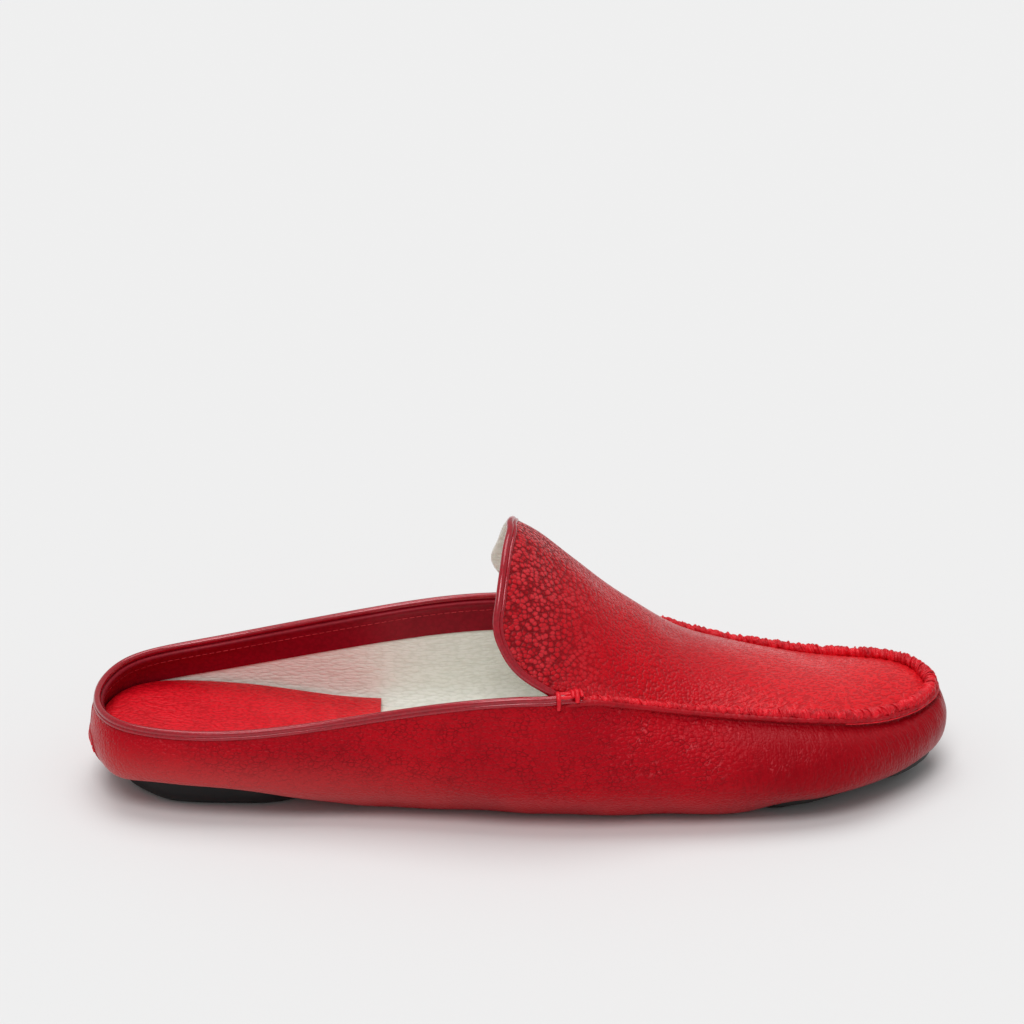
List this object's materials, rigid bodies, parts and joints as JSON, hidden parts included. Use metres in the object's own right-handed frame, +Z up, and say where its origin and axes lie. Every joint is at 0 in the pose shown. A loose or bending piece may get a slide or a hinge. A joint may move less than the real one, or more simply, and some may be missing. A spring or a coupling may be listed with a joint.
{
  "type": "moccasin mule slipper",
  "caption": "Low-backed leather moccasin slipper for the right foot, with a raised apron seam, a tall tongue, piped edges and separate rubber soles under heel and forefoot.",
  "frame": {"origin": "on the floor under the middle of the shoe's length and width", "axes": "+X towards the toe, +Y towards the inner side of the foot, +Z up"},
  "size_m": [0.265, 0.087, 0.0824],
  "materials": {
    "red_leather": "soft grained leather with a low sheen",
    "red_piping": "smooth polished leather",
    "red_pad": "fine grained leather",
    "pale_lining": "matt lining leather",
    "black_rubber": "matt"
  },
  "bodies": {
    "root": {"upper": "red_leather", "apron": "red_leather", "collar_piping": "red_piping", "tongue_piping": "red_piping", "insole": "pale_lining", "heel_pad": "red_pad", "forefoot_sole": "black_rubber", "heel_sole": "black_rubber"}
  },
  "joints": []
}
